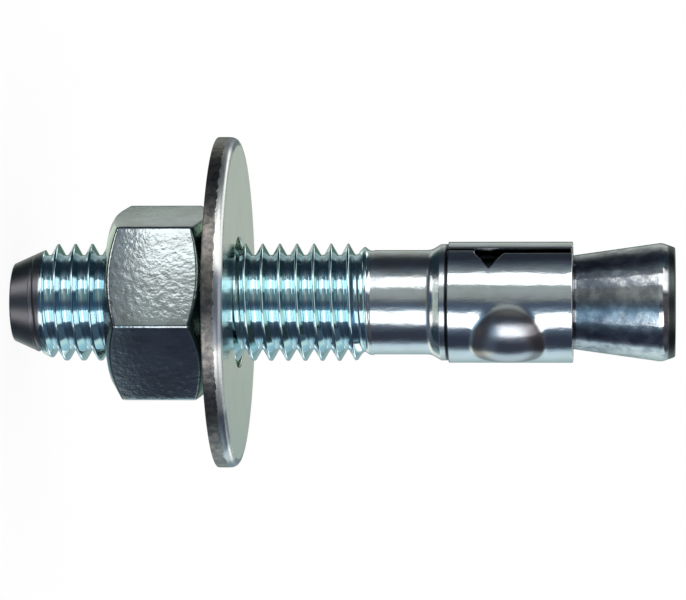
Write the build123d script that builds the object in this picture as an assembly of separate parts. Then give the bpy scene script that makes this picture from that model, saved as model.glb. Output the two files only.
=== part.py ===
from build123d import *
import os
from math import asin, cos, degrees, radians, sin, tan

# Wedge anchor for a 5/8 in hole, 3-1/2 in long: a cold-formed stud with a rolled thread at
# one end and a cone at the other, a rolled clip round the neck behind the cone, a flat
# washer and a hex nut.
# The stud stands on the flat of its threaded tip at z = 0, and +Z runs along it to the cone.
# Angles are turned about +Z from +X. All sizes are in millimetres and degrees.

INCH = 25.4

# ---- stud -------------------------------------------------------------------------------
overall_length = 3.5 * INCH
thread_d = 15.75            # over the crests of the rolled 5/8-11 thread
thread_length = 48.8        # tip to the end of the run-out
thread_runout_angle = 30.0  # of the last crest, against the axis
tip_face_d = 10.4           # flat that the hammer meets
tip_taper_angle = 24.0      # against the axis
tip_edge_break = 0.25

shank_d = 14.0              # the blank that the thread is rolled on
collar_d = 15.6             # shoulder that drives the clip into the hole
collar_land = 1.0
collar_flare_angle = 31.0
collar_flare_break = 0.60
collar_edge_break = 0.15

neck_d = 12.5
neck_length = 16.45         # collar to the start of the cone
cone_large_d = 15.86        # just under the drill's 5/8 in
cone_angle = 8.0            # half angle
cone_nose_length = 1.8      # blunted end past the largest diameter
cone_nose_break = 0.50
cone_face_d = 14.6
cone_edge_break = 0.30

# ---- expansion clip ---------------------------------------------------------------------
clip_wall = 1.65            # thickness of the strip
clip_neck_clearance = 0.20  # radial, strip to neck
clip_length = 16.6
clip_edge_break = 0.20
seam_angle = -154.4         # straight end of the strip; the other end is stepped and notched
seam_gap = 0.85             # between the ends, at the collar end
slot_width = 1.47           # between the ends past the notch, open at the cone end
notch_centre = 5.55         # from the clip's collar end
notch_width = 3.9
notch_tip_turn = 30.9       # how far round from the straight end the notch's tip reaches
notch_tip_round = 0.35
relief_turn = 185.2         # from the straight end to the slot that frees the two wings
relief_width = 1.47
relief_corner_round = 0.5
relief_bridge = 5.4         # strip left whole at the collar end

bump_angle = -50.0          # middle of the first raised bump
bump_count = 2              # one on each wing
bump_centre = 8.1           # from the clip's collar end
bump_half_length = 5.0      # along the clip
bump_half_angle = 36.5      # round the clip
bump_rise = 0.85            # over the clip's outside
bump_steps = 4              # straight stretches that follow the bow of a bump
dish_depth = 0.12           # of the ring pressed down round each bump
dish_margin = 0.35          # that ring, past the bump's half length

# ---- flat washer ------------------------------------------------------------------------
washer_od = 1.75 * INCH
washer_id = 11 / 16 * INCH
washer_thickness = 2.7
washer_roll_over = 1.15     # round edge that the punch leaves on the face towards the work
washer_bore_break = 0.25
washer_burr_break = 0.10

# ---- hex nut ----------------------------------------------------------------------------
nut_width = 15 / 16 * INCH  # across the flats
nut_height = 13.6
nut_outer_face = 13.5       # from the stud's tip to the nut's outer face
nut_corner_angle = -76.4    # where one corner points
nut_chamfer_angle = 30.0    # against the nut's faces
nut_outer_chamfer_d = 21.6  # circle where the outer chamfer starts
nut_inner_chamfer_d = 20.4
nut_washer_gap = 0.65        # the washer hangs loose behind the nut
nut_countersink_d = 17.4
nut_countersink_angle = 45.0
thread_clearance = 0.10     # radial, nut bore to stud

# ---- stations and radii that follow from the sizes above --------------------------------
thread_r = thread_d / 2
shank_r = shank_d / 2
collar_r = collar_d / 2
neck_r = neck_d / 2
cone_large_r = cone_large_d / 2

cone_length = (cone_large_r - neck_r) / tan(radians(cone_angle))
cone_large_z = overall_length - cone_nose_length
cone_start_z = cone_large_z - cone_length
clip_seat_z = cone_start_z - neck_length
clip_top_z = clip_seat_z + clip_length

clip_inner_r = neck_r + clip_neck_clearance
clip_outer_r = clip_inner_r + clip_wall
past_clip_r = clip_outer_r + bump_rise + clip_wall  # clear of the clip, for its cutters

nut_inner_z = nut_outer_face + nut_height
washer_seat_z = nut_inner_z + nut_washer_gap
washer_face_z = washer_seat_z + washer_thickness
nut_bore_r = thread_r + thread_clearance


def turned(*outline):
    """A solid of revolution about Z from (radius, height, edge break) points."""
    points = []
    for place, (radius, height, edge_break) in enumerate(outline):
        corner = Vector(radius, height)
        if not edge_break:
            points.append(corner)
            continue
        for neighbour in (outline[place - 1], outline[(place + 1) % len(outline)]):
            points.append(corner + (Vector(*neighbour[:2]) - corner).normalized() * edge_break)
    return revolve(Plane.XZ * make_face(Polyline(*points, close=True)), Axis.Z)


def disc(radius, low, high):
    """A plain cylinder between two heights."""
    return Pos(0, 0, low) * Cylinder(radius, high - low, align=(Align.CENTER, Align.CENTER, Align.MIN))


def facing(angle, height):
    """A plane through the axis that faces outwards at an angle: x runs round, y runs along +Z."""
    outward = Vector(cos(radians(angle)), sin(radians(angle)), 0)
    around = Vector(-sin(radians(angle)), cos(radians(angle)), 0)
    return Plane(origin=(0, 0, height), x_dir=around, z_dir=outward)


def turn_of(arc_length, radius):
    """The angle that an arc's length subtends."""
    return degrees(arc_length / radius)


# ---- stud -------------------------------------------------------------------------------
def make_stud():
    """One turning: tapered tip, thread over its crests, shank, collar, neck and blunted cone."""
    taper_z = (thread_r - tip_face_d / 2) / tan(radians(tip_taper_angle))
    runout_z = thread_length - (thread_r - shank_r) / tan(radians(thread_runout_angle))
    land_z = clip_seat_z - collar_land
    flare_z = land_z - (collar_r - shank_r) / tan(radians(collar_flare_angle))
    return turned(
        (0, 0, 0),
        (tip_face_d / 2, 0, tip_edge_break),
        (thread_r, taper_z, 0),
        (thread_r, runout_z, 0),
        (shank_r, thread_length, 0),
        (shank_r, flare_z, collar_flare_break),
        (collar_r, land_z, collar_edge_break),
        (collar_r, clip_seat_z, collar_edge_break),
        (neck_r, clip_seat_z, 0),
        (neck_r, cone_start_z, 0),
        (cone_large_r, cone_large_z, cone_nose_break),
        (cone_face_d / 2, overall_length, cone_edge_break),
        (0, overall_length, 0),
    )


# ---- expansion clip ---------------------------------------------------------------------
def rolled_strip():
    """The strip as a closed ring round the neck, its outer rims eased by the blanking."""
    return turned(
        (clip_inner_r, clip_seat_z, 0),
        (clip_outer_r, clip_seat_z, clip_edge_break),
        (clip_outer_r, clip_top_z, clip_edge_break),
        (clip_inner_r, clip_top_z, 0),
    )


def gap_cutter(start_angle, width, low, corner=0.0):
    """A radial cutter for a gap that starts at an angle and is open at the cone end."""
    middle = start_angle + turn_of(width, clip_outer_r) / 2
    outline = Rectangle(width, clip_length + clip_wall - low, align=(Align.CENTER, Align.MIN))
    if corner:
        outline = fillet(outline.vertices().group_by(Axis.Y)[0], corner)
    return extrude(facing(middle, clip_seat_z + low) * outline, past_clip_r)


def notch_cutter():
    """The V notch in the strip's stepped end, its tip rounded by the punch."""
    mouth_angle = seam_angle + turn_of(slot_width, clip_outer_r)
    tip_angle = seam_angle + notch_tip_turn
    middle = (mouth_angle + tip_angle) / 2
    reach = clip_outer_r * sin(radians(tip_angle - middle))
    back = reach + slot_width / 2
    half = notch_width / 2
    outline = make_face(Polyline(
        (reach, 0), (-reach, half), (-back, half), (-back, -half), (-reach, -half), close=True
    ))
    outline = fillet(outline.vertices().sort_by(Axis.X)[-1], notch_tip_round)
    return extrude(facing(middle, clip_seat_z + notch_centre) * outline, past_clip_r)


def barrel(angle, offset, radius, side_radius):
    """A barrel beside the stud's axis: round across, and bowed along Z in straight stretches."""
    half_turn = asin(bump_half_length / side_radius)
    side = []
    for step in range(bump_steps + 1):
        lean = half_turn * (2 * step / bump_steps - 1)
        side.append((radius - side_radius * (1 - cos(lean)), side_radius * sin(lean)))
    outline = make_face(Polyline(*side, (0, bump_half_length), (0, -bump_half_length), close=True))
    away = Vector(cos(radians(angle)), sin(radians(angle)), 0) * offset
    return Pos(away.X, away.Y, clip_seat_z + bump_centre) * revolve(Plane.XZ * outline, Axis.Z)


def bump_barrels(angle):
    """The barrels that form one bump's outside and, a wall's thickness inside it, its hollow."""
    top_r = clip_outer_r + bump_rise
    offset = (top_r**2 - clip_outer_r**2) / (2 * (top_r - clip_outer_r * cos(radians(bump_half_angle))))
    side_radius = (bump_half_length**2 + bump_rise**2) / (2 * bump_rise)
    outside = barrel(angle, offset, top_r - offset, side_radius)
    hollow = barrel(angle, offset, top_r - offset - clip_wall, side_radius)
    return outside, hollow


def dish_cutter(angle):
    """The oval ring pressed into the strip round a bump."""
    across = clip_outer_r * sin(radians(bump_half_angle)) + dish_margin
    oval = Ellipse(across, bump_half_length + dish_margin)
    prism = extrude(facing(angle, clip_seat_z + bump_centre) * oval, past_clip_r)
    return prism - disc(clip_outer_r - dish_depth, clip_seat_z, clip_top_z)


def make_clip():
    """The rolled strip with its dished bumps, its open seam, the relief slot and the notch."""
    clip = rolled_strip()
    core = disc(clip_outer_r - clip_wall / 2, clip_seat_z, clip_top_z)
    for turn in range(bump_count):
        angle = bump_angle + turn * 360 / bump_count
        outside, hollow = bump_barrels(angle)
        clip = clip - dish_cutter(angle) + (outside - core) - hollow
    clip -= gap_cutter(seam_angle, seam_gap, -clip_wall)
    clip -= gap_cutter(seam_angle, slot_width, notch_centre)
    clip -= gap_cutter(seam_angle + relief_turn, relief_width, relief_bridge, relief_corner_round)
    return clip - notch_cutter()


# ---- flat washer ------------------------------------------------------------------------
def make_washer():
    """A stamped ring: burred towards the nut, rolled over in two slopes towards the work."""
    rim_r = washer_od / 2
    crown = washer_roll_over * (1 - cos(radians(45)))
    return turned(
        (washer_id / 2, washer_seat_z, washer_burr_break),
        (rim_r, washer_seat_z, washer_burr_break),
        (rim_r, washer_face_z - washer_roll_over, 0),
        (rim_r - crown, washer_face_z - crown, 0),
        (rim_r - washer_roll_over, washer_face_z, 0),
        (washer_id / 2, washer_face_z, washer_bore_break),
    )


# ---- hex nut ----------------------------------------------------------------------------
def nut_envelope():
    """The turned blank that trims the hexagon's corners on both faces."""
    rim_r = nut_width / 3**0.5 + thread_clearance
    rise = tan(radians(nut_chamfer_angle))
    outer_r = nut_outer_chamfer_d / 2
    inner_r = nut_inner_chamfer_d / 2
    return turned(
        (0, nut_outer_face, 0),
        (outer_r, nut_outer_face, 0),
        (rim_r, nut_outer_face + (rim_r - outer_r) * rise, 0),
        (rim_r, nut_inner_z - (rim_r - inner_r) * rise, 0),
        (inner_r, nut_inner_z, 0),
        (0, nut_inner_z, 0),
    )


def nut_bore():
    """The hole over the thread's roots, countersunk from both faces."""
    mouth_r = nut_countersink_d / 2
    sink = (mouth_r - nut_bore_r) / tan(radians(nut_countersink_angle))
    return turned(
        (0, nut_outer_face, 0),
        (mouth_r, nut_outer_face, 0),
        (nut_bore_r, nut_outer_face + sink, 0),
        (nut_bore_r, nut_inner_z - sink, 0),
        (mouth_r, nut_inner_z, 0),
        (0, nut_inner_z, 0),
    )


def make_nut():
    """A hexagon trimmed by the turned blank, with its bore."""
    hexagon = RegularPolygon(nut_width / 2, 6, major_radius=False, rotation=nut_corner_angle)
    body = extrude(Pos(0, 0, nut_outer_face) * hexagon, nut_height)
    return (body & nut_envelope()) - nut_bore()


os.makedirs("parts", exist_ok=True)
export_step(make_stud(), "parts/stud.step")
export_step(make_clip(), "parts/expansion_clip.step")
export_step(make_washer(), "parts/flat_washer.step")
export_step(make_nut(), "parts/hex_nut.step")

print("clip seat at z", round(clip_seat_z, 3), "clip top at z", round(clip_top_z, 3))
print("cone starts at z", round(cone_start_z, 3), "largest at z", round(cone_large_z, 3))
free_slide = (clip_inner_r - neck_r) / tan(radians(cone_angle)) - (clip_top_z - cone_start_z)
print("free slide of the clip up to the cone", round(free_slide, 3))
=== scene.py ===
# %% [markdown]
# Wedge anchor, dressed for its picture.
# A wedge anchor is a bolt for concrete. Its stud is cold-formed from one bar, with a rolled
# thread at one end and a cone at the other. A strip of steel is rolled round the neck behind
# the cone, and the nut pulls the cone into that clip until it bites into the hole.
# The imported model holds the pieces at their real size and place. Here each piece gets the
# form that is too fine for it, such as the thread, and its zinc plating.

import math

import bmesh
import bpy
from mathutils import Matrix, Vector


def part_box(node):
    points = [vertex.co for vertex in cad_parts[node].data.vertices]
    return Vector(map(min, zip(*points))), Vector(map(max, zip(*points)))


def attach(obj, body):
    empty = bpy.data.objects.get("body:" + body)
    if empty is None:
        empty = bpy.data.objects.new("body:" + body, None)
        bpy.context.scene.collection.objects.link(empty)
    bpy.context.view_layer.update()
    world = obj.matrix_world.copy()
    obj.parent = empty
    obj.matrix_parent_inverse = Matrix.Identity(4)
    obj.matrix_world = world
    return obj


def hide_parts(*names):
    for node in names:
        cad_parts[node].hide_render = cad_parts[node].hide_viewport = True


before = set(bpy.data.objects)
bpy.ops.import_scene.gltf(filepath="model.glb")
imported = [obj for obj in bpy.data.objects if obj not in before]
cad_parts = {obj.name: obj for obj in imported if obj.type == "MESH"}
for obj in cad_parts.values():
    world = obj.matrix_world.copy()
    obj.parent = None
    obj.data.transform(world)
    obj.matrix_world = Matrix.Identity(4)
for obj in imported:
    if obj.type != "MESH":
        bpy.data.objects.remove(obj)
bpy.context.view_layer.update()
MM = 0.001
INCH = 25.4 * MM

# %% [markdown]
# The frame says where each piece starts and ends, so those sizes are read and not typed.
# Every turned piece has the same number of columns round the axis. Rims that meet then share
# their points, and a piece made in two ways can be welded into one closed mesh.

# %% Read the places of the pieces from the frame
stud_low, stud_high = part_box("stud")
clip_low, clip_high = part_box("expansion_clip")
washer_low, washer_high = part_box("flat_washer")
nut_low, nut_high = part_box("hex_nut")

overall_length = stud_high.z
washer_r = washer_high.x
clip_length = clip_high.z - clip_low.z
columns = 120
print("stud", round(stud_low.z / MM, 2), "to", round(stud_high.z / MM, 2), "mm")
print("clip", round(clip_low.z / MM, 2), "to", round(clip_high.z / MM, 2), "mm up the stud")
print("washer", round(washer_low.z / MM, 2), "to", round(washer_high.z / MM, 2), "mm")

# %% [markdown]
# The camera looks at the anchor from the side, as a catalogue does: the threaded tip is on
# the left and the cone on the right, although the anchor stands on its tip. So the camera is
# rolled by a quarter turn. A long lens far away keeps the sides nearly parallel, and a small
# turn lets the washer's face show.

# %% Aim the camera
camera_distance = 0.497
camera_turn = math.radians(4.5)
camera_lift = 0.3 * MM
camera_lens = 194.2         # focal length in millimetres, as a lens is marked

picture_right = Vector((0, math.sin(camera_turn), math.cos(camera_turn)))
picture_up = Vector((-1, 0, 0))
picture_back = picture_right.cross(picture_up)
middle = Vector((0, 0, overall_length / 2))

camera_data = bpy.data.cameras.new("catalogue_camera")
camera_data.lens = camera_lens
camera = bpy.data.objects.new("catalogue_camera", camera_data)
camera.matrix_world = Matrix((picture_right, picture_up, picture_back)).transposed().to_4x4()
camera.location = middle + picture_back * camera_distance + picture_up * camera_lift
bpy.context.scene.collection.objects.link(camera)
bpy.context.scene.camera = camera
bpy.context.scene.view_settings.view_transform = "Standard"
print("camera at", [round(c, 4) for c in camera.location])

# %% [markdown]
# Shader and geometry maths is easier to read as sums than as wires. A Term wraps a socket, and
# each sum or product of terms adds one Math node, also where the plain number comes first.

# %% Write node maths as sums
class Term:
    """A number in a node tree, for sums, differences, products and quotients."""

    def __init__(self, sheet, socket):
        self.sheet = sheet
        self.socket = socket

    def __add__(self, other):
        return self.sheet.math("ADD", self, other)

    def __radd__(self, other):
        return self.sheet.math("ADD", other, self)

    def __sub__(self, other):
        return self.sheet.math("SUBTRACT", self, other)

    def __rsub__(self, other):
        return self.sheet.math("SUBTRACT", other, self)

    def __mul__(self, other):
        return self.sheet.math("MULTIPLY", self, other)

    def __rmul__(self, other):
        return self.sheet.math("MULTIPLY", other, self)

    def __truediv__(self, other):
        return self.sheet.math("DIVIDE", self, other)

    def __rtruediv__(self, other):
        return self.sheet.math("DIVIDE", other, self)


print("terms add, subtract, multiply and divide")

# %% [markdown]
# A Sheet holds the tree that its terms belong to. Every other node comes from Sheet.node: its
# type, its settings, which are set first, its sockets and, for a colour ramp, its stops. A
# value is linked if it comes from a node, and otherwise set on the socket.

# %% Keep each node tree on a sheet
class Sheet:
    """One node tree, with one method for its maths and one for every other node."""

    def __init__(self, tree):
        self.tree = tree
        tree.nodes.clear()

    def feed(self, socket, value):
        """Links a term or an output to a socket, or sets a plain value or colour on it."""
        if isinstance(value, Term):
            value = value.socket
        if isinstance(value, bpy.types.NodeSocket):
            self.tree.links.new(value, socket)
        elif socket.type == "RGBA":
            socket.default_value = (*value, 1)
        else:
            socket.default_value = value

    def math(self, operation, *values):
        """One Math node, as a term."""
        node = self.tree.nodes.new("ShaderNodeMath")
        node.operation = operation
        for socket, value in zip(node.inputs, values):
            self.feed(socket, value)
        return Term(self, node.outputs[0])

    def node(self, kind, settings=None, sockets=None, stops=None):
        """Any other node. Stops are pairs of a place from 0 to 1 and a colour."""
        node = self.tree.nodes.new(kind)
        for name, value in (settings or {}).items():
            setattr(node, name, value)
        if stops:
            ramp = node.color_ramp
            while len(ramp.elements) < len(stops):
                ramp.elements.new(0.5)
            for element, (place, colour) in zip(ramp.elements, stops):
                element.position = place
                element.color = (*colour, 1)
        for name, value in (sockets or {}).items():
            self.feed(node.inputs[name], value)
        return node

    def term(self, node, output=0):
        """One output of a node, given by its number or name."""
        return Term(self, node.outputs[output])

    def parts(self, vector):
        """The three parts of a vector, as terms."""
        node = self.node("ShaderNodeSeparateXYZ", sockets={"Vector": vector})
        return [self.term(node, axis) for axis in range(3)]

    def ramp(self, value, low, high):
        """0 below low and 1 above high, with a smooth step between."""
        node = self.node("ShaderNodeMapRange", {"interpolation_type": "SMOOTHSTEP"},
                         {"Value": value, "From Min": low, "From Max": high})
        return self.term(node)

    def mix(self, factor, first, second):
        """The first colour at factor 0, the second at 1."""
        node = self.node("ShaderNodeMix", {"data_type": "RGBA"},
                         {0: factor, 6: first, 7: second})
        return node.outputs[2]


print("sheets are ready for the room, the floor, the thread and the finishes")

# %% [markdown]
# Bright metal shows the room more than itself, so the room is most of the picture. A product
# table has a pale backdrop, dark flags above and below the view, and grey cards between the
# lamps. Real cards would work too, but a world that is bright or dark by compass direction
# gives the same bands on every turned surface and is quick to adjust. A turned surface
# mirrors what lies level with the camera. The first list is that level part of the room.

# %% Colour the level part of the room
level_bands = [
    # behind the anchor, on the lower side: the pale backdrop
    (-180, (0.50, 0.54, 0.50)),
    (-175, (0.30, 0.40, 0.40)),
    (-160, (0.34, 0.44, 0.45)),
    (-125, (0.62, 0.76, 0.80)),
    (-110, (0.58, 0.72, 0.80)),
    (-105, (0.36, 0.46, 0.53)),
    # below: a dark flag
    (-99, (0.10, 0.13, 0.17)),
    (-92, (0.036, 0.045, 0.068)),
    (-78, (0.030, 0.038, 0.062)),
    (-68, (0.034, 0.044, 0.070)),
    (-58, (0.070, 0.092, 0.130)),
    # beside the lower lamp, and the gap between the two lamps
    (-53, (0.14, 0.18, 0.24)),
    (-18, (0.30, 0.38, 0.44)),
    (-13, (0.13, 0.18, 0.25)),
    (-7, (0.065, 0.085, 0.13)),
    (-1, (0.075, 0.095, 0.13)),
    (4, (0.16, 0.18, 0.19)),
    (9, (0.28, 0.30, 0.30)),
    (22, (0.34, 0.38, 0.37)),
    (60, (0.28, 0.31, 0.33)),
    # above: the other dark flag
    (66, (0.18, 0.21, 0.23)),
    (73, (0.090, 0.11, 0.13)),
    (82, (0.040, 0.050, 0.070)),
    (92, (0.018, 0.022, 0.035)),
    (110, (0.025, 0.032, 0.042)),
    (121, (0.075, 0.085, 0.090)),
    # behind the anchor, on the upper side: the backdrop, with one green board
    (131, (0.22, 0.24, 0.24)),
    (143, (0.40, 0.42, 0.40)),
    (155, (0.50, 0.53, 0.50)),
    (162, (0.11, 0.18, 0.14)),
    (173, (0.11, 0.18, 0.14)),
    (177, (0.50, 0.54, 0.50)),
]
print("level part of the room:", len(level_bands), "stops")

# %% [markdown]
# Surfaces that lean along the axis mirror what is below or above that level part. The cone
# looks down a little, at the next zone. Light in a thread goes from flank to flank and leaves
# steeply, down or up, so the steep zones carry the lamps' white again: both flanks of a
# groove then shine in line with its crest. Each zone below level is a list of its own.

# %% Colour the room below the level part
low_bands = [
    (-180, (0.60, 0.62, 0.58)),
    (-140, (0.92, 0.95, 0.84)),
    (-108, (0.92, 0.95, 0.84)),
    (-102, (0.38, 0.45, 0.45)),
    (-95, (0.16, 0.20, 0.23)),
    (-88, (0.06, 0.08, 0.11)),
    (-71, (0.07, 0.10, 0.14)),
    (-56, (0.11, 0.16, 0.21)),
    (-42, (0.26, 0.42, 0.58)),
    (-29, (0.33, 0.55, 0.73)),
    (-16, (0.18, 0.30, 0.41)),
    (-8, (0.12, 0.17, 0.22)),
    (0, (0.12, 0.15, 0.17)),
    (13, (0.20, 0.22, 0.22)),
    (26, (0.23, 0.24, 0.24)),
    (44, (0.30, 0.36, 0.41)),
    (57, (0.18, 0.22, 0.26)),
    (66, (0.18, 0.22, 0.27)),
    (72, (0.36, 0.40, 0.43)),
    (80, (0.06, 0.08, 0.10)),
    (92, (0.025, 0.035, 0.05)),
    (112, (0.02, 0.03, 0.04)),
    (122, (0.12, 0.14, 0.15)),
    (132, (0.45, 0.48, 0.46)),
    (180, (0.60, 0.62, 0.58)),
]
lowered_bands = [
    (-180, (0.23, 0.39, 0.41)),
    (-142, (0.23, 0.39, 0.41)),
    (-128, (0.09, 0.11, 0.13)),
    (-100, (0.08, 0.10, 0.13)),
    (-70, (0.11, 0.13, 0.17)),
    (-50, (0.08, 0.075, 0.085)),
    (60, (0.07, 0.075, 0.085)),
    (82, (0.015, 0.028, 0.038)),
    (128, (0.015, 0.028, 0.038)),
    (145, (0.08, 0.15, 0.14)),
    (157, (1.10, 1.30, 1.05)),
    (175, (1.10, 1.30, 1.05)),
    (179, (0.20, 0.27, 0.26)),
]
under_bands = [
    (-180, (0.20, 0.23, 0.23)),
    (-168, (0.20, 0.25, 0.26)),
    (-142, (0.23, 0.39, 0.41)),
    (-128, (0.05, 0.10, 0.13)),
    (-112, (0.018, 0.036, 0.055)),
    (-72, (0.018, 0.036, 0.055)),
    (-66, (0.06, 0.10, 0.13)),
    (-61, (1.50, 1.50, 1.50)),
    (-31, (1.50, 1.50, 1.50)),
    (-27, (0.16, 0.24, 0.30)),
    (-14, (0.05, 0.09, 0.15)),
    (26, (0.045, 0.080, 0.135)),
    (31, (0.14, 0.19, 0.24)),
    (35, (1.50, 1.50, 1.50)),
    (67, (1.50, 1.50, 1.50)),
    (73, (0.07, 0.10, 0.12)),
    (82, (0.015, 0.028, 0.038)),
    (128, (0.015, 0.028, 0.038)),
    (145, (0.08, 0.15, 0.14)),
    (155, (1.10, 1.30, 1.05)),
    (168, (1.10, 1.30, 1.05)),
    (172, (0.20, 0.22, 0.22)),
    (180, (0.20, 0.23, 0.23)),
]
floor_glow = (0.075, 0.085, 0.100)
print("below level:", len(low_bands), len(lowered_bands), "and", len(under_bands), "stops")

# %% [markdown]
# The room above the level part is the same idea upside down. The washer's rolled edge and the
# flanks that face the cone look up into it.

# %% Colour the room above the level part
raised_bands = [
    (-160, (0.25, 0.36, 0.36)),
    (-152, (1.70, 1.70, 1.70)),
    (-144, (1.70, 1.70, 1.70)),
    (-132, (0.08, 0.10, 0.12)),
    (-112, (0.05, 0.055, 0.07)),
    (-30, (0.09, 0.08, 0.09)),
    (20, (0.12, 0.11, 0.11)),
    (30, (1.70, 1.70, 1.70)),
    (68, (1.70, 1.70, 1.70)),
    (76, (0.07, 0.10, 0.12)),
    (94, (0.020, 0.035, 0.048)),
    (130, (0.020, 0.035, 0.048)),
    (142, (1.70, 1.70, 1.70)),
    (152, (1.70, 1.70, 1.70)),
    (160, (0.12, 0.20, 0.15)),
]
steep_bands = [
    (-72, (0.025, 0.045, 0.065)),
    (-62, (1.70, 1.70, 1.70)),
    (-30, (1.70, 1.70, 1.70)),
    (-24, (0.16, 0.24, 0.30)),
    (-14, (0.07, 0.12, 0.20)),
    (24, (0.07, 0.12, 0.20)),
    (30, (0.14, 0.19, 0.24)),
    (34, (1.70, 1.70, 1.70)),
    (68, (1.70, 1.70, 1.70)),
    (76, (0.07, 0.10, 0.12)),
    (92, (0.020, 0.035, 0.048)),
    (112, (1.00, 1.00, 1.00)),
]
ceiling_glow = (1.00, 1.00, 1.00)
print("above level:", len(raised_bands), "and", len(steep_bands), "stops")

# %% [markdown]
# The lists become one world. Each zone is laid over the last where the view is steep enough,
# so a slope of 0 is level and 1 is straight down or up. Only mirrored rays see these bands.
# The camera sees plain white, and matt surfaces get an even light.

# %% Hang the room round the anchor
white = (1, 1, 1)
even_light = (0.80, 0.80, 0.80)

world = bpy.data.worlds.new("studio")
bpy.context.scene.world = world
world.use_nodes = True
room = Sheet(world.node_tree)
incoming = room.node("ShaderNodeNewGeometry").outputs["Incoming"]
toward_x, toward_y, down = room.parts(incoming)
up = 0 - down
turn = room.math("ARCTAN2", toward_x, toward_y) / (2 * math.pi) + 0.5


def bands(stops):
    """A picture of the room that changes with the compass direction alone.

    Stops are in degrees round the anchor: 0 towards the camera, and 90 to the picture's top.
    """
    places = [(0.5 + degrees / 360, colour) for degrees, colour in stops]
    return room.node("ShaderNodeValToRGB", sockets={"Fac": turn}, stops=places).outputs[0]


zones = [                   # slope, where the zone starts and is full, and its look
    (down, 0.225, 0.265, bands(low_bands)),
    (down, 0.36, 0.42, bands(lowered_bands)),
    (down, 0.62, 0.66, bands(under_bands)),
    (down, 0.84, 0.87, floor_glow),
    (up, 0.26, 0.36, bands(raised_bands)),
    (up, 0.64, 0.70, bands(steep_bands)),
    (up, 0.84, 0.88, ceiling_glow),
]
picture = bands(level_bands)
for slope, start, full, look in zones:
    picture = room.mix(room.ramp(slope, start, full), picture, look)

path = room.node("ShaderNodeLightPath")
is_glossy, is_through = (room.term(path, f"Is {kind} Ray") for kind in ("Glossy", "Transmission"))
seen = room.mix(room.math("MAXIMUM", is_glossy, is_through), even_light, picture)
seen = room.mix(room.term(path, "Is Camera Ray"), seen, white)
background = room.node("ShaderNodeBackground", sockets={"Color": seen, "Strength": 1.0})
room.node("ShaderNodeOutputWorld", sockets={"Surface": background.outputs[0]})
print("room has", len(zones), "zones besides the level one")

# %% [markdown]
# Two tall soft lamps stand either side of the camera, as they would for a catalogue.
# They are real area lamps and not part of the world, because a lamp close by ends at another
# height for each piece: the nut's front flat still mirrors the foot of the upper lamp, and
# the cone, which leans down a little, looks in under it.

# %% Stand the lamps beside the camera
lamp_distance = 1.5
lamp_low = -0.30
lamp_high = 0.85
lamp_radiance = 1.5


def soft_lamp(name, first, last):
    """A soft lamp that fills the compass directions from first to last, in degrees."""
    width = 2 * lamp_distance * math.tan(math.radians(last - first) / 2)
    height = lamp_high - lamp_low
    lamp = bpy.data.lights.new(name, "AREA")
    lamp.shape = "RECTANGLE"
    lamp.size = width
    lamp.size_y = height
    lamp.energy = lamp_radiance * math.pi * width * height
    bearing = math.radians(first + last) / 2
    outward = Vector((-math.sin(bearing), -math.cos(bearing), 0))
    stand = bpy.data.objects.new(name, lamp)
    stand.rotation_mode = "QUATERNION"
    stand.rotation_quaternion = outward.to_track_quat("Z", "Y")
    stand.location = outward * lamp_distance + Vector((0, 0, (lamp_low + lamp_high) / 2))
    bpy.context.scene.collection.objects.link(stand)
    print(name, "width", round(width, 2), "m, height", round(height, 2), "m")


soft_lamp("upper_strip_lamp", 34, 57)
soft_lamp("lower_strip_lamp", -49, -20)

# %% [markdown]
# The floor is a plain pale disc at the height of the tip. The camera sees it as white as the
# backdrop, and it keeps only the soft shadow that the anchor drops on it.

# %% Lay the floor
floor_r = 1.2
floor_points = 96
floor_colour = (0.82, 0.82, 0.82)
floor_white = 0.86          # share of the floor's look that no shadow can darken
floor_shine = 1.05          # a little over white, to hide the floor's edge

disc = bmesh.new()
bmesh.ops.create_circle(disc, cap_ends=True, radius=floor_r, segments=floor_points)
floor_mesh = bpy.data.meshes.new("floor")
disc.to_mesh(floor_mesh)
disc.free()
floor = bpy.data.objects.new("floor", floor_mesh)
bpy.context.scene.collection.objects.link(floor)
floor.visible_glossy = False

floor_finish = bpy.data.materials.new("pale_floor")
floor_finish.use_nodes = True
ground = Sheet(floor_finish.node_tree)
ground_path = ground.node("ShaderNodeLightPath")
matt = ground.node("ShaderNodeBsdfDiffuse", sockets={"Color": floor_colour})
glow = ground.node("ShaderNodeEmission", sockets={"Color": white, "Strength": floor_shine})
share = ground.term(ground_path, "Is Camera Ray") * floor_white
surface = ground.node(
    "ShaderNodeMixShader", sockets={0: share, 1: matt.outputs[0], 2: glow.outputs[0]})
ground.node("ShaderNodeOutputMaterial", sockets={"Surface": surface.outputs[0]})
floor_mesh.materials.append(floor_finish)
print("floor radius", floor_r, "m")

# %% [markdown]
# Zinc plating is thin, bright and a little blue, because it is passivated in a chromate bath.
# It is never even: the film clouds over a few millimetres, the steel under it is pitted at a
# few tenths, and tools leave marks that run along or round the piece. So each finish is a
# metal with a cloudy tint, a fine pitted bump and a roughness that follows the same pits.
# Every pattern is noise in the piece's own coordinates, so it stays put when the piece moves.

# %% Prepare what the finishes share
bright_zinc = (0.82, 0.87, 0.90)
warm_zinc = (0.74, 0.75, 0.72)
blue_zinc = (0.62, 0.84, 0.91)


def finish(name):
    """A new material, its sheet, and the surface's own coordinates in metres."""
    material = bpy.data.materials.new(name)
    material.use_nodes = True
    sheet = Sheet(material.node_tree)
    place = sheet.node("ShaderNodeTexCoord").outputs["Object"]
    return material, sheet, place


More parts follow.
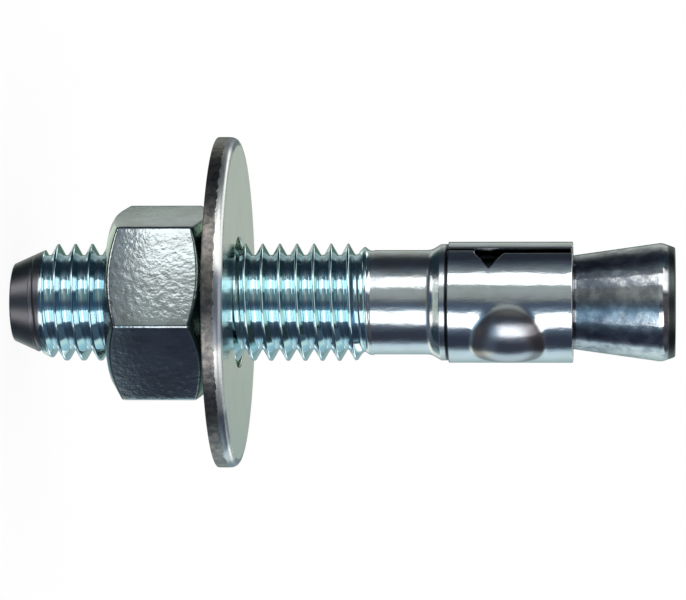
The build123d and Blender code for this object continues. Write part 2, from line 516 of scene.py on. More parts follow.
def noise(sheet, place, grain, detail=2.0, roughness=0.5, seed=0.0):
    """Noise from 0 to 1 whose lumps are about grain metres across."""
    node = sheet.node("ShaderNodeTexNoise", {"noise_dimensions": "4D"}, {
        "Vector": place, "W": seed, "Scale": 1 / grain, "Detail": detail, "Roughness": roughness})
    return sheet.term(node, "Fac")


def stretched(sheet, place, along):
    """Coordinates whose patterns are drawn out along the anchor's axis."""
    node = sheet.node("ShaderNodeMapping", sockets={"Vector": place, "Scale": (1, 1, 1 / along)})
    return node.outputs[0]


def off_axis(sheet, across, back):
    """Distance from the anchor's axis."""
    return sheet.math("SQRT", across * across + back * back)


def plate(sheet, material, colour, roughness, height, relief):
    """The metal itself, with height as a bump of relief metres."""
    bump = sheet.node("ShaderNodeBump", sockets={
        "Strength": 1.0, "Distance": relief, "Height": height})
    metal = sheet.node("ShaderNodeBsdfPrincipled", sockets={
        "Base Color": colour, "Metallic": 1.0, "Roughness": roughness, "Normal": bump.outputs[0]})
    sheet.node("ShaderNodeOutputMaterial", sockets={"Surface": metal.outputs[0]})
    print(material.name, "has", len(sheet.tree.nodes), "nodes")
    return material


# %% [markdown]
# A rolled thread is one shape that climbs a helix, so a rule makes it best. A Geometry Nodes
# tree lays a grid whose rows climb with the helix: a row stays on the crest, on a flank or in
# the root all the way up, and every edge of the thread is clean. The same tree makes the
# thread on the stud and the one in the nut, which has its crests inside: its Side is -1.
# Limits at both ends cut the thread off as the taper and the countersink do, and a fade lets
# it run out on to the shank.

# %% Name the inputs of the thread tree
THREAD_INPUTS = {
    "Columns": "NodeSocketInt",
    "Rows": "NodeSocketInt",
    "Steps per Turn": "NodeSocketInt",
    "Pitch": "NodeSocketFloat",
    "Start": "NodeSocketFloat",
    "Low": "NodeSocketFloat",
    "High": "NodeSocketFloat",
    "Side": "NodeSocketFloat",
    "Crest Radius": "NodeSocketFloat",
    "Root Radius": "NodeSocketFloat",
    "Crest Share": "NodeSocketFloat",
    "Root Share": "NodeSocketFloat",
    "Low Radius": "NodeSocketFloat",
    "Low Slope": "NodeSocketFloat",
    "High Radius": "NodeSocketFloat",
    "High Slope": "NodeSocketFloat",
    "Fade Length": "NodeSocketFloat",
    "Fade Radius": "NodeSocketFloat",
    "Finish": "NodeSocketMaterial",
}
weld_gap = 0.001 * MM       # points closer than this become one
print("thread tree takes", len(THREAD_INPUTS), "inputs")

# %% [markdown]
# A point of the grid knows only its index. Its row and its share of a turn follow from that,
# and they give its level on the helix. The row alone says where on the profile it lies, since
# every row follows the helix. The radius is then held back by the two limits.

# %% Place the points of a thread
half_row = 0.5              # added before rounding down, so that no row slips by a fraction
turn_nudge = 0.0001         # of a turn, which keeps whole turns clear of rounding errors


def helix_places(sheet, value):
    """The grid, and its points' turns up to their row, share of a turn, and level."""
    line = value("Columns") + 1
    grid = sheet.node("GeometryNodeMeshGrid", sockets={
        "Vertices X": value("Rows"), "Vertices Y": line})
    index = sheet.term(sheet.node("GeometryNodeInputIndex"))
    row = sheet.math("FLOOR", (index + half_row) / line)
    turn_share = (index - row * line) / value("Columns")
    turns_up = row / value("Steps per Turn")
    climb = value("Start") + value("Pitch") * (turns_up + turn_share)
    level = sheet.math("MINIMUM", sheet.math("MAXIMUM", climb, value("Low")), value("High"))
    return grid, turns_up, turn_share, level


def profile_radius(sheet, value, turns_up, level):
    """The radius of the crest, flank or root, which fades out near the upper end."""
    off_crest = sheet.math("ABSOLUTE", sheet.math("FRACT", turns_up + turn_nudge) - 0.5)
    flank = sheet.node("ShaderNodeMapRange", sockets={
        "Value": off_crest,
        "From Min": value("Crest Share") / 2, "From Max": 0.5 - value("Root Share") / 2,
        "To Min": value("Crest Radius"), "To Max": value("Root Radius")})
    radius = sheet.term(flank)
    fade = sheet.node("ShaderNodeMapRange", sockets={
        "Value": level,
        "From Min": value("High") - value("Fade Length"), "From Max": value("High")})
    return radius + (value("Fade Radius") - radius) * sheet.term(fade)


def cut_radius(sheet, value, radius, level):
    """The radius, held back by the taper or the countersink at either end."""
    low_limit = value("Low Radius") + (level - value("Low")) * value("Low Slope")
    high_limit = value("High Radius") + (value("High") - level) * value("High Slope")
    side = value("Side")
    limit = sheet.math("MINIMUM", side * low_limit, side * high_limit)
    return side * sheet.math("MINIMUM", side * radius, limit)


print("thread's points are placed by their index")


# %% Build the thread tree
def make_thread_tree():
    tree = bpy.data.node_groups.new("rolled_thread", "GeometryNodeTree")
    for name, kind in THREAD_INPUTS.items():
        tree.interface.new_socket(name, in_out="INPUT", socket_type=kind)
    tree.interface.new_socket("Geometry", in_out="OUTPUT", socket_type="NodeSocketGeometry")
    sheet = Sheet(tree)
    given = sheet.node("NodeGroupInput")

    def value(name):
        return sheet.term(given, name)

    grid, turns_up, turn_share, level = helix_places(sheet, value)
    radius = profile_radius(sheet, value, turns_up, level)
    radius = cut_radius(sheet, value, radius, level)
    angle = turn_share * (2 * math.pi)
    point = sheet.node("ShaderNodeCombineXYZ", sockets={
        "X": radius * sheet.math("COSINE", angle),
        "Y": radius * sheet.math("SINE", angle),
        "Z": level})
    wound = sheet.node("GeometryNodeSetPosition", sockets={
        "Geometry": grid.outputs["Mesh"], "Position": point.outputs[0]})
    welded = sheet.node("GeometryNodeMergeByDistance", sockets={
        "Geometry": wound.outputs[0], "Distance": weld_gap})
    real = sheet.node("GeometryNodeRealizeInstances", sockets={"Geometry": welded.outputs[0]})
    plated = sheet.node("GeometryNodeSetMaterial", sockets={
        "Geometry": real.outputs[0], "Material": given.outputs["Finish"]})
    sheet.node("NodeGroupOutput", sockets={"Geometry": plated.outputs[0]})
    return tree


thread_tree = make_thread_tree()
print("thread tree has", len(thread_tree.nodes), "nodes")

# %% [markdown]
# The tree needs an object to act on, but none of that object's own shape. So a thread is wound
# on an empty carrier and copied out as a plain mesh, which can be welded to the rest of its
# piece, and the carrier goes again.

# %% Wind a thread from the tree
def wind_thread(name, **sizes):
    """The thread as a plain mesh. Each size is given by its input's name, in metres."""
    carrier = bpy.data.objects.new(name, bpy.data.meshes.new(name))
    bpy.context.scene.collection.objects.link(carrier)
    winder = carrier.modifiers.new(name, "NODES")
    winder.node_group = thread_tree
    for item in thread_tree.interface.items_tree:
        if item.in_out == "INPUT":
            winder[item.identifier] = sizes[item.name.replace(" ", "_").lower()]
    bpy.context.view_layer.update()
    graph = bpy.context.evaluated_depsgraph_get()
    mesh = bpy.data.meshes.new_from_object(carrier.evaluated_get(graph))
    carrier.modifiers.remove(winder)
    bpy.data.objects.remove(carrier)
    print(name, "wound with", len(mesh.polygons), "faces")
    return mesh


# %% [markdown]
# The rest of a turned piece is a section spun round the axis. No real edge is sharp, and it is
# the small round at each edge that catches the light. So each corner of a section carries its
# own radius, and a short flat beside each round keeps the shading of the big faces flat.

# %% Round the corners of a section
round_steps = 6
shoulder = 0.05 * MM        # flat left beside each round


def rounded(section):
    """Points of a section, from (radius, height, corner round) in metres."""
    points = []
    for place, (radius, height, corner) in enumerate(section):
        tip = Vector((radius, height))
        if not corner:
            points.append(tip)
            continue
        back = Vector(section[place - 1][:2]) - tip
        on = Vector(section[(place + 1) % len(section)][:2]) - tip
        opening = back.angle(on) / 2
        reach = corner / math.tan(opening)
        back.normalize()
        on.normalize()
        start = tip + back * reach
        end = tip + on * reach
        points.append(tip + back * (reach + shoulder))
        for step in range(round_steps + 1):
            share = step / round_steps
            bend = tip * 2 * share * (1 - share)
            points.append(start * (1 - share) ** 2 + bend + end * share**2)
        points.append(tip + on * (reach + shoulder))
    return points


print("each round has", round_steps, "steps")


# %% Spin a section and close the piece
def spin(shape, points, closed=False):
    """Spins a section round the axis into a bmesh, with one point where it meets the axis."""
    rings = []
    for radius, height in points:
        if radius < weld_gap:
            rings.append([shape.verts.new((0, 0, height))] * columns)
            continue
        ring = []
        for column in range(columns):
            angle = 2 * math.pi * column / columns
            spot = (radius * math.cos(angle), radius * math.sin(angle), height)
            ring.append(shape.verts.new(spot))
        rings.append(ring)
    pairs = zip(rings, rings[1:] + rings[:1]) if closed else zip(rings, rings[1:])
    for low, high in pairs:
        for column in range(columns):
            after = (column + 1) % columns
            corners = [low[column], low[after], high[after], high[column]]
            shape.faces.new(list(dict.fromkeys(corners)))


def close_up(shape, name, material):
    """Welds a bmesh into a closed, smooth piece with its faces outwards."""
    bmesh.ops.remove_doubles(shape, verts=shape.verts, dist=weld_gap)
    bmesh.ops.recalc_face_normals(shape, faces=shape.faces)
    if shape.calc_volume(signed=True) < 0:
        bmesh.ops.reverse_faces(shape, faces=shape.faces)
    for face in shape.faces:
        face.smooth = True
    open_edges = sum(len(edge.link_faces) != 2 for edge in shape.edges)
    mesh = bpy.data.meshes.new(name)
    shape.to_mesh(mesh)
    shape.free()
    mesh.materials.clear()
    mesh.materials.append(material)
    piece = bpy.data.objects.new(name, mesh)
    bpy.context.scene.collection.objects.link(piece)
    print(name, len(mesh.polygons), "faces,", open_edges, "open edges")
    return piece


# %% [markdown]
# The stud stands on the flat of its tip. From the tip up it has a tapered start, the thread,
# the bare shank that the thread was rolled on, the collar, the neck and the cone. The thread
# is 5/8-11: eleven turns to the inch, with sixty-degree flanks.

# %% Size the stud
pitch = INCH / 11
thread_r = 7.875 * MM       # a little under 5/16 inch, as a rolled thread is
crest_share = 1 / 12        # flat of the crest and of the root, as shares of the pitch
root_share = 1 / 6
flank_angle = math.radians(30)
thread_depth = pitch * (0.5 - (crest_share + root_share) / 2) / math.tan(flank_angle)
root_r = thread_r - thread_depth
steps_per_turn = 24
thread_length = 48.8 * MM
thread_runout = 1.2 * pitch
thread_phase = 0.57 * pitch     # height of a root on the X side, less whole turns
uncut_r = 2 * thread_r          # a limit so wide that it cuts nothing

tip_r = 5.2 * MM
tip_slope = math.tan(math.radians(24))
tip_low = 1.0 * MM          # where the thread takes over from the plain tip
shank_r = 7.0 * MM
collar_r = 7.8 * MM
collar_land = 1.0 * MM
collar_slope = math.tan(math.radians(31))
neck_r = 6.25 * MM
cone_r = 7.93 * MM
cone_slope = math.tan(math.radians(8))
nose_length = 1.8 * MM
cone_face_r = 7.3 * MM

cone_z = overall_length - nose_length
neck_end_z = cone_z - (cone_r - neck_r) / cone_slope
land_z = clip_low.z - collar_land
flare_z = land_z - (collar_r - shank_r) / collar_slope
print("thread depth", round(thread_depth / MM, 3), "mm, pitch", round(pitch / MM, 3), "mm")
print("cone from", round(neck_end_z / MM, 2), "to", round(cone_z / MM, 2), "mm up the stud")

# %% [markdown]
# The stud is one bar with several finishes. The rolled thread has the bluest film and is
# nearly a mirror, the shank ripples, and the cone is blotchy, with dark blotches of painted
# shade near the clip that fade towards the nose. The neck inside the clip, and a narrow band of
# the collar beside it, are painted dark as shade. The tip and the nose are rougher and are
# painted dark, as a painted reflection of dark surroundings.

# %% Plate the stud
dull_cone = ((0.84, 0.86, 0.86), (0.50, 0.52, 0.54))
# painted shade on the cone, near the clip
painted_cone_shade = (0.16, 0.18, 0.23)
# painted shade on the neck inside the clip
painted_neck_shade = (0.07, 0.08, 0.09)
# the tip and the nose are painted dark, as painted reflections
painted_dark_tip = (0.24, 0.235, 0.25)
painted_dark_nose = (0.07, 0.08, 0.08)
# the tip is painted dark up to this height, as a painted reflection, and is not bare steel
tip_end = 4.0 * MM          # where the bare steel of the tip stops


def stud_zinc():
    """Rolled thread with a blue film, a rippled shank, a blotchy cone with painted shade by the
    clip, a neck in painted shade inside the clip, and ends painted dark.
    """
    material, sheet, place = finish("stud_zinc")
    up = sheet.parts(place)[2]
    cloud = noise(sheet, place, 3 * MM, seed=31)
    pits = noise(sheet, place, 0.25 * MM, detail=3, seed=32)
    draw_marks = noise(sheet, stretched(sheet, place, 9), 0.35 * MM, detail=3, seed=33)
    blotch = noise(sheet, place, 1.6 * MM, detail=3, seed=34)
    waves = noise(sheet, stretched(sheet, place, 1.6), 2.2 * MM, detail=2, seed=35)

    # the tip's painted dark
    on_painted_tip = 1 - sheet.ramp(up, tip_end, tip_end + 0.4 * MM)
    on_thread = 1 - sheet.ramp(up, thread_length - 1.5 * MM, thread_length)
    past_collar = sheet.ramp(up, clip_low.z - 0.40 * MM, clip_low.z - 0.25 * MM)
    # painted shade on the neck inside the clip and on the collar's edge beside it
    shaded_in_clip = past_collar * (1 - sheet.ramp(up, clip_high.z - 0.30 * MM, clip_high.z))
    on_cone = sheet.ramp(up, neck_end_z, neck_end_z + 0.5 * MM)
    # the cone's painted shade is strongest by the clip and gone towards the nose
    clear_of_clip_shade = sheet.ramp(up, neck_end_z + 2 * MM, cone_z - 2 * MM)
    on_painted_nose = sheet.ramp(up, cone_z + 0.6 * MM, cone_z + 1.0 * MM)

    colour = sheet.mix(sheet.ramp(cloud, 0.35, 0.7), bright_zinc, warm_zinc)
    colour = sheet.mix(on_thread * (0.55 + cloud * 0.5), colour, blue_zinc)
    colour = sheet.mix(on_cone, colour, sheet.mix(sheet.ramp(blotch, 0.38, 0.62), *dull_cone))
    # painted shade on the cone near the clip
    colour = sheet.mix(on_cone * (1 - clear_of_clip_shade) * blotch, colour, painted_cone_shade)
    colour = sheet.mix(shaded_in_clip, colour, painted_neck_shade)
    colour = sheet.mix(on_painted_tip, colour, painted_dark_tip)
    colour = sheet.mix(on_painted_nose, colour, painted_dark_nose)

    # the ends that are painted dark are also rougher
    painted_dark_ends = sheet.math("MAXIMUM", on_painted_tip, on_painted_nose)
    roughness = 0.12 + pits * 0.08 - on_thread * 0.08 - on_cone * 0.07 + painted_dark_ends * 0.25
    height = pits * (0.5 - on_cone * 0.42) + draw_marks * (0.3 + on_cone * 0.1)
    height = height + waves * (2.4 - on_cone * 0.9)
    height = height * (1 - on_thread * 0.85)
    return plate(sheet, material, colour, roughness, height, 0.022 * MM)


stud_finish = stud_zinc()

# %% [markdown]
# The thread comes from the tree. The tip and everything above the thread are spun, and share
# their last ring of points with it, so the three weld into one closed bar.

# %% Make the stud
def thread_rows(length):
    """Rows that cover a length of thread, with two turns to spare."""
    return math.ceil((length / pitch + 2) * steps_per_turn) + 1


def make_stud():
    shoulder_r = tip_r + tip_low * tip_slope
    thread = wind_thread(
        "stud_thread", columns=columns, steps_per_turn=steps_per_turn,
        rows=thread_rows(thread_length),
        pitch=pitch, start=thread_phase - 2 * pitch, low=tip_low, high=thread_length, side=1.0,
        crest_radius=thread_r, root_radius=root_r, crest_share=crest_share, root_share=root_share,
        low_radius=shoulder_r, low_slope=tip_slope,
        high_radius=uncut_r, high_slope=0.0,
        fade_length=thread_runout, fade_radius=shank_r, finish=stud_finish)
    shape = bmesh.new()
    shape.from_mesh(thread)
    spin(shape, rounded([
        (0, 0, 0),
        (tip_r, 0, 0.35 * MM),
        (shoulder_r, tip_low, 0),
    ]))
    spin(shape, rounded([
        (shank_r, thread_length, 0),
        (shank_r, flare_z, 2.2 * MM),
        (collar_r, land_z, 0.25 * MM),
        (collar_r, clip_low.z, 0.25 * MM),
        (neck_r, clip_low.z, 0.15 * MM),
        (neck_r, neck_end_z, 0.5 * MM),
        (cone_r, cone_z, 1.6 * MM),
        (cone_face_r, overall_length, 0.35 * MM),
        (0, overall_length, 0),
    ]))
    return close_up(shape, "stud_body", stud_finish)


stud = make_stud()
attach(stud, "stud")
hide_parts("stud")

# %% [markdown]
# The washer is sheared from sheet, and its face keeps the satin of the rolls. Its rim is
# smooth where the punch rolled the edge over, and torn and brown where the steel then broke.
# The line between the two is ragged, and the rolled edge is rubbed bright only in places.

# %% Plate the washer
satin = ((0.54, 0.64, 0.55), (0.48, 0.57, 0.50))
broken_steel = ((0.17, 0.165, 0.165), (0.37, 0.33, 0.29))
rolled_edge = ((0.34, 0.37, 0.42), (0.93, 0.95, 0.92))
roll_depth = 1.05 * MM      # from the face down to where the steel broke
tear = 0.9 * MM             # width of a tear, and height of the ragged line


def washer_zinc():
    """Stamped sheet: a satin face, a rolled edge that is rubbed in places, and a torn rim."""
    material, sheet, place = finish("washer_zinc")
    across, back, up = sheet.parts(place)
    out = off_axis(sheet, across, back)
    cloud = noise(sheet, place, 5 * MM, seed=3)
    pits = noise(sheet, place, 0.28 * MM, detail=3, seed=5)
    tears = noise(sheet, place, tear, detail=4, roughness=0.6, seed=6)
    rubs = noise(sheet, place, 9 * MM, detail=1, seed=7)

    ragged = up + (tears - 0.5) * tear
    break_z = washer_high.z - roll_depth
    broken = 1 - sheet.ramp(ragged, break_z - 0.07 * MM, break_z + 0.07 * MM)
    sheared = sheet.ramp(out, washer_r - 0.25 * MM, washer_r - 0.12 * MM) * broken
    on_roll = sheet.ramp(out, washer_r - 1.25 * MM, washer_r - 1.05 * MM) * (1 - broken)

    colour = sheet.mix(sheet.ramp(cloud, 0.35, 0.7), *satin)
    colour = sheet.mix(sheared, colour, sheet.mix(sheet.ramp(tears, 0.35, 0.65), *broken_steel))
    colour = sheet.mix(on_roll, colour, sheet.mix(sheet.ramp(rubs, 0.44, 0.56), *rolled_edge))
    roughness = 0.07 + pits * 0.05 + sheared * 0.20 + on_roll * 0.26
    height = pits + sheared * tears * 4
    return plate(sheet, material, colour, roughness, height, 0.010 * MM)


washer_finish = washer_zinc()

# %% [markdown]
# The washer is a ring, so one closed section makes it. The punch drags the edge over on one
# face, which gives the rim its large round, and leaves an almost sharp edge on the other.

# %% Make the washer
washer_bore_r = 8.731 * MM


def make_washer():
    shape = bmesh.new()
    spin(shape, rounded([
        (washer_bore_r, washer_low.z, 0.12 * MM),
        (washer_r, washer_low.z, 0.15 * MM),
        (washer_r, washer_high.z, 1.15 * MM),
        (washer_bore_r, washer_high.z, 0.30 * MM),
    ]), closed=True)
    return close_up(shape, "washer_ring", washer_finish)


washer = make_washer()
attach(washer, "flat_washer")
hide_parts("flat_washer")

# %% [markdown]
# The nut is forged cold, and its flats come out of the tumbling barrel dimpled like hammered
# silver. Its end faces and chamfers are painted darker, as shade: on the washer side this
# stands in for the shade between the nut and the washer. They are told apart by how far a face
# looks along the axis, and not by their place, so the painted shade ends exactly at the curved
# edges.

# %% Plate the nut
forged_flats = ((0.62, 0.68, 0.69), (0.50, 0.54, 0.54))
# painted shade on the chamfers and end faces
painted_end_shade = (0.26, 0.29, 0.30)


def nut_zinc():
    """Cold-formed nut: dimpled flats, and chamfers and end faces painted darker as shade."""
    material, sheet, place = finish("nut_zinc")
    cloud = noise(sheet, place, 3.5 * MM, detail=3, seed=11)
    dimples = noise(sheet, place, 0.8 * MM, detail=3, roughness=0.55, seed=12)
    pits = noise(sheet, place, 0.25 * MM, detail=2, seed=13)

    facing = sheet.node("ShaderNodeNewGeometry").outputs["Normal"]
    # faces that look along the axis get the painted shade
    shaded_endwise = sheet.ramp(sheet.math("ABSOLUTE", sheet.parts(facing)[2]), 0.40, 0.60)
    colour = sheet.mix(sheet.ramp(cloud, 0.35, 0.65), *forged_flats)
    colour = sheet.mix(shaded_endwise, colour, painted_end_shade)
    roughness = 0.11 + pits * 0.06
    height = dimples + pits * 0.10
    return plate(sheet, material, colour, roughness, height, 0.055 * MM)


nut_finish = nut_zinc()

# %% [markdown]
# The nut is a hexagon whose corners are turned off at thirty degrees on both faces. Each
# column of its skin runs straight up from the rim of the bore, over the chamfers and back
# into the bore, so the curved edge where a flat meets a chamfer comes out by itself.

# %% Lay the skin of the nut
nut_apothem = 15 / 16 * INCH / 2
nut_corner = math.radians(-76.4)
nut_chamfer = math.tan(math.radians(30))
nut_outer_chamfer_r = 10.8 * MM
nut_inner_chamfer_r = 10.2 * MM
nut_mouth_r = 8.7 * MM
nut_edge = 0.34 * MM
nut_edge_steps = 3
nut_sharp_angle = math.radians(20)      # edges that bend more than this are rounded


def hexagon_r(angle):
    """Distance from the axis to the hexagon's side."""
    off_flat = (angle - nut_corner) % (math.pi / 3) - math.pi / 6
    return nut_apothem / math.cos(off_flat)


def nut_skin(shape):
    """Faces from the lower mouth of the bore, round the outside, to the upper mouth."""
    low, high = nut_low.z, nut_high.z
    lines = []
    for column in range(columns):
        angle = nut_corner + 2 * math.pi * column / columns
        far = hexagon_r(angle)
        section = [
            (nut_mouth_r, low),
            (nut_outer_chamfer_r, low),
            (far, low + (far - nut_outer_chamfer_r) * nut_chamfer),
            (far, high - (far - nut_inner_chamfer_r) * nut_chamfer),
            (nut_inner_chamfer_r, high),
            (nut_mouth_r, high),
        ]
        lines.append([
            shape.verts.new((r * math.cos(angle), r * math.sin(angle), z)) for r, z in section])
    for column, line in enumerate(lines):
        after = lines[(column + 1) % columns]
        for row in range(len(line) - 1):
            shape.faces.new((line[row], after[row], after[row + 1], line[row + 1]))


def soften_nut(shape):
    """Rounds the outside edges by a narrow bevel."""
    sharp = [
        edge for edge in shape.edges
        if len(edge.link_faces) == 2
        and edge.calc_face_angle() > nut_sharp_angle
        and min(v.co.xy.length for v in edge.verts) > nut_mouth_r + nut_edge]
    bmesh.ops.bevel(
        shape, geom=sharp, offset=nut_edge, segments=nut_edge_steps, profile=0.5,
        affect="EDGES", clamp_overlap=True)
    print("nut has", len(sharp), "edges rounded")


print("nut is", round(2 * nut_apothem / MM, 2), "mm across its flats")

# %% [markdown]
# The bore is wound by the same tree as the stud's thread, with a small gap between the two.
# It is then turned, so that a column of it meets each corner of the hexagon. Turning a helix
# moves it along its axis as well, so it starts lower by as much, and the threads stay in step.

# %% Make the nut
thread_gap = 0.08 * MM      # between the two threads
turns_below = 4             # whole turns of the stud's thread, which end below the nut
no_fade = weld_gap          # the countersink ends this thread, so it has no run-out


def make_nut():
    drop = pitch * nut_corner / (2 * math.pi)
    bore = wind_thread(
        "nut_thread", columns=columns, steps_per_turn=steps_per_turn,
        rows=thread_rows(nut_high.z - nut_low.z),
        pitch=pitch, start=thread_phase + turns_below * pitch + drop,
        low=nut_low.z, high=nut_high.z, side=-1.0,
        crest_radius=thread_r + thread_gap, root_radius=root_r + 2 * thread_gap,
        crest_share=crest_share, root_share=root_share,
        low_radius=nut_mouth_r, low_slope=-1.0, high_radius=nut_mouth_r, high_slope=-1.0,
        fade_length=no_fade, fade_radius=nut_mouth_r, finish=nut_finish)
    print("nut thread starts", round(-drop / MM, 3), "mm lower, for its turn to the corner")
    shape = bmesh.new()
    shape.from_mesh(bore)
    to_corner = Matrix.Rotation(nut_corner, 3, "Z")
    bmesh.ops.rotate(shape, verts=shape.verts, cent=(0, 0, 0), matrix=to_corner)
    nut_skin(shape)
    bmesh.ops.remove_doubles(shape, verts=shape.verts, dist=weld_gap)
    soften_nut(shape)
    return close_up(shape, "nut_body", nut_finish)


nut = make_nut()
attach(nut, "hex_nut")
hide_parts("hex_nut")

# %% [markdown]
# The clip starts as a flat strip. It is blanked with a stepped, notched end and a slot that
# frees two wings, a bump is pressed in each wing, and the strip is rolled round the neck.
# The mesh is made the same way. Its grid is laid out flat, turn by length, so that its rows
# follow the cut ends, and each point is then rolled up and pushed out by the bumps.

# %% Lay out the strip
clip_r = 8.1 * MM
clip_wall = 1.65 * MM
seam = -154.4               # degrees round the axis, where the strip's straight end is
seam_turn = 6.0             # degrees from there to the stepped end, at the collar
slot_turn = 10.4            # and to the wing's end, above the step
notch_turn = 30.9           # and to the notch's tip
notch_blunt = 0.8           # taken off the notch's tip by the round of the punch
notch_low = 3.6 * MM
notch_tip = 5.55 * MM
notch_high = 7.5 * MM
relief_start = 185.2        # degrees along the strip, where the slot between the wings is
relief_end = 195.6
relief_bottom = 5.4 * MM
relief_round = 0.5 * MM
row_height = 0.3 * MM


def notched_end(up):
    """Turn at which the wing's end lies, at a height up the clip: straight but for the notch."""
    if up <= notch_low or up >= notch_high:
        return slot_turn
    side = notch_high if up > notch_tip else notch_low
    share = (up - side) / (notch_tip - side)
    sharp = slot_turn + (notch_turn - slot_turn) * share
    return min(sharp, notch_turn - notch_blunt)


stations = [0, notch_low, notch_tip, relief_bottom + relief_round, notch_high, clip_length]
rows_up = [0]
for low, high in zip(stations, stations[1:]):
    steps = max(1, round((high - low) / row_height))
    rows_up += [low + (high - low) * step / steps for step in range(1, steps + 1)]
print("strip has", len(rows_up), "rows")

# %% [markdown]
# Each bump is a low dome with an oval foot, and is steeper on one side than on the other.
# Steel that is pressed between two tools doesn't fold sharply, so the dome runs into the
# strip in a soft curve. A formula for the radius makes both, and leaves the grid as it is.

# %% Press the bumps and roll the strip
bump_turns = (110.4, 290.4)     # degrees along the strip
bump_up = 8.1 * MM
bump_half_length = 5.05 * MM
bump_half_turns = (math.radians(43), math.radians(32))      # before and after its middle
bump_rise = 1.05 * MM
bump_fold = 0.10            # share of the rise that the soft fold at the foot takes
fold_turns = 1.5            # the fold ends at this share of the half turn
fold_length = 1.3           # and at this share of the half length


def pressed_r(turn_degrees, up):
    """Outside radius of the strip at a turn and a height up the clip."""
    radius = clip_r
    for middle_turn in bump_turns:
        turned = math.radians(turn_degrees - middle_turn)
        off = abs(turned) / bump_half_turns[turned > 0]
        along = abs(up - bump_up) / bump_half_length
        if off < fold_turns and along < fold_length:
            dome = 1 - along**2 - off**2
            radius += bump_rise * (dome + math.hypot(dome, bump_fold)) / 2
    return radius


def rolled(turn_degrees, up):
    """A point of the flat strip, pressed and rolled up."""
    radius = pressed_r(turn_degrees, up)
    angle = math.radians(seam + turn_degrees)
    return Vector((radius * math.cos(angle), radius * math.sin(angle), clip_low.z + up))


crown_r = pressed_r(bump_turns[0], bump_up)
print("a bump reaches", round((crown_r - clip_r) / MM, 3), "mm out of the strip")

# %% [markdown]
# The strip is polished before it is rolled, so the clip is the brightest piece, with faint
# ripples from the rolls. Its inside is painted dark as shade. Its cut edges at the collar and
# at the seam are painted just as dark, partly as darker cut steel and partly as painted shade
# in the gaps. Each bump is rougher than the strip, its foot is painted dark as shade, and its
# crown is painted light as a highlight.

# %% Plate the clip
polished_strip = (bright_zinc, (0.76, 0.81, 0.80))
# painted shade inside the strip, and on its cut edges partly darker steel and partly painted
# shade
cut_steel_and_painted_shade = (0.12, 0.13, 0.14)
# a bump's foot is painted dark as shade and its crown light as a highlight
painted_bump_shade_and_highlight = ((0.30, 0.29, 0.30), (0.66, 0.67, 0.70))    # a bump's foot and its crown
seam_x = math.cos(math.radians(seam))
seam_y = math.sin(math.radians(seam))


def clip_zinc():
    """Polished strip with painted shade inside and on its cut edges, and bumps with painted shade
    at the foot and a painted highlight on the crown.
    """
    material, sheet, place = finish("clip_zinc")
    across, back, up = sheet.parts(place)
    out = off_axis(sheet, across, back)
    cloud = noise(sheet, place, 4 * MM, seed=21)
    ripple = noise(sheet, stretched(sheet, place, 3), 0.8 * MM, detail=3, seed=22)
    pits = noise(sheet, place, 0.2 * MM, detail=2, seed=23)
    waves = noise(sheet, place, 3.2 * MM, detail=1, seed=24)

    # painted shade on the inside of the strip
    painted_shade_inside = 1 - sheet.ramp(out, clip_r - 0.60 * MM, clip_r - 0.25 * MM)
    low_edge = 1 - sheet.ramp(up, clip_low.z + 0.10 * MM, clip_low.z + 0.22 * MM)
    off_seam = sheet.math("ABSOLUTE", across * seam_y - back * seam_x)
    seam_side = sheet.ramp(across * seam_x, 0, MM)
    cut_end = (1 - sheet.ramp(off_seam, 0.10 * MM, 0.22 * MM)) * seam_side
    edges_and_painted_shade = sheet.math("MAXIMUM", sheet.math("MAXIMUM", painted_shade_inside, low_edge), cut_end)
    # painted shade at a bump's foot, and a painted highlight on its crown
    bump_with_painted_shade = sheet.ramp(out, clip_r + 0.03 * MM, clip_r + 0.22 * MM)
    painted_crown_highlight = sheet.ramp(out, clip_r + 0.45 * MM, clip_r + 0.85 * MM)

    colour = sheet.mix(sheet.ramp(cloud, 0.4, 0.7), *polished_strip)
    # painted shade inside and on the cut edges
    colour = sheet.mix(edges_and_painted_shade, colour, cut_steel_and_painted_shade)
    # painted shade and painted highlight on the bumps
    colour = sheet.mix(bump_with_painted_shade, colour, sheet.mix(painted_crown_highlight, *painted_bump_shade_and_highlight))
    roughness = 0.09 + pits * 0.06 + bump_with_painted_shade * 0.09
    height = waves * 3.3 + ripple * 0.9 + pits * 0.3
    return plate(sheet, material, colour, roughness, height, 0.022 * MM)


clip_finish = clip_zinc()

# %% [markdown]
# The strip is laid in four blocks whose ends match: the ledge under the step, the first wing
# with its notched end, the bridge under the slot, and the second wing. One grid over all of
# it would have to be cut afterwards, and a cut leaves ragged rows along the notch.

# %% Lay the strip in blocks
wing_columns = 100
bridge_columns = 7
ledge_columns = 3


def strip_block(shape, heights, count, first, last, lift=None):
    """A block of the strip between two ends, each a turn for a height up the clip."""
    grid = []
    for up in heights:
        start, end = first(up), last(up)
        line = []
        for place in range(count + 1):
            share = place / count
            top = lift(share) if lift else 1.0
            line.append(shape.verts.new(rolled(start + (end - start) * share, up * top)))
        grid.append(line)
    for low, high in zip(grid, grid[1:]):
        for place in range(count):
            shape.faces.new((low[place], low[place + 1], high[place + 1], high[place]))


def slot_lift(share):
    """Height share of the bridge under the relief slot, whose bottom corners are round."""
    width = math.radians(relief_end - relief_start) * clip_r
    to_side = min(share, 1 - share) * width
    rise = relief_round - math.sqrt(relief_round**2 - max(relief_round - to_side, 0) ** 2)
    return (relief_bottom + rise) / (relief_bottom + relief_round)


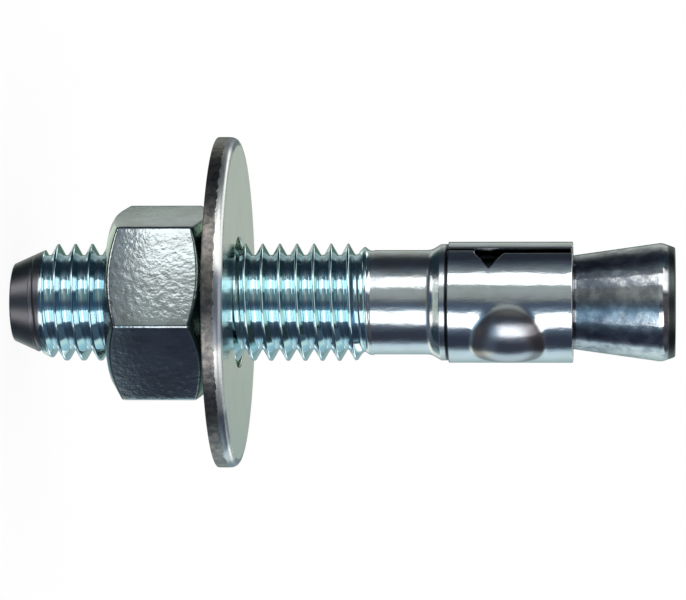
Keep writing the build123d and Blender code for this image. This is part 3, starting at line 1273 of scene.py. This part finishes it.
def rolled_strip():
    """The outside of the strip as a smooth mesh without a wall, its faces outwards."""
    shape = bmesh.new()
    under_slot = [up for up in rows_up if up <= relief_bottom + relief_round + weld_gap]
    on_ledge = [up for up in rows_up if up <= notch_low + weld_gap]
    strip_block(shape, on_ledge, ledge_columns, lambda up: seam_turn, lambda up: slot_turn)
    strip_block(shape, rows_up, wing_columns, notched_end, lambda up: relief_start)
    strip_block(
        shape, under_slot, bridge_columns, lambda up: relief_start, lambda up: relief_end,
        slot_lift)
    strip_block(shape, rows_up, wing_columns, lambda up: relief_end, lambda up: 360.0)
    bmesh.ops.remove_doubles(shape, verts=shape.verts, dist=weld_gap)
    bmesh.ops.recalc_face_normals(shape, faces=shape.faces)
    outward = sum(face.normal.xy.dot(face.calc_center_median().xy) for face in shape.faces)
    if outward < 0:
        bmesh.ops.reverse_faces(shape, faces=shape.faces)
    mesh = bpy.data.meshes.new("clip_strip")
    shape.to_mesh(mesh)
    shape.free()
    for polygon in mesh.polygons:
        polygon.use_smooth = True
    print("strip has", len(mesh.polygons), "faces before it has a wall")
    return mesh


strip = rolled_strip()

# %% [markdown]
# Solidify puts the wall on the inside of the strip, since the points lie on its outside. A
# narrow Bevel then takes the edge off the cut sides: its angle limit leaves the bumps alone.

# %% Make the clip
clip_edge = 0.16 * MM
clip_edge_steps = 3
clip_sharp_angle = math.radians(50)


def make_clip():
    carrier = bpy.data.objects.new("clip_strip", strip)
    bpy.context.scene.collection.objects.link(carrier)
    wall = carrier.modifiers.new("wall", "SOLIDIFY")
    wall.thickness = clip_wall
    wall.offset = -1
    wall.use_even_offset = True
    edge = carrier.modifiers.new("edge", "BEVEL")
    edge.width = clip_edge
    edge.segments = clip_edge_steps
    edge.limit_method = "ANGLE"
    edge.angle_limit = clip_sharp_angle
    graph = bpy.context.evaluated_depsgraph_get()
    solid = bpy.data.meshes.new_from_object(carrier.evaluated_get(graph))
    bpy.data.objects.remove(carrier)
    shape = bmesh.new()
    shape.from_mesh(solid)
    return close_up(shape, "clip_sleeve", clip_finish)


clip = make_clip()
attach(clip, "expansion_clip")
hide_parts("expansion_clip")
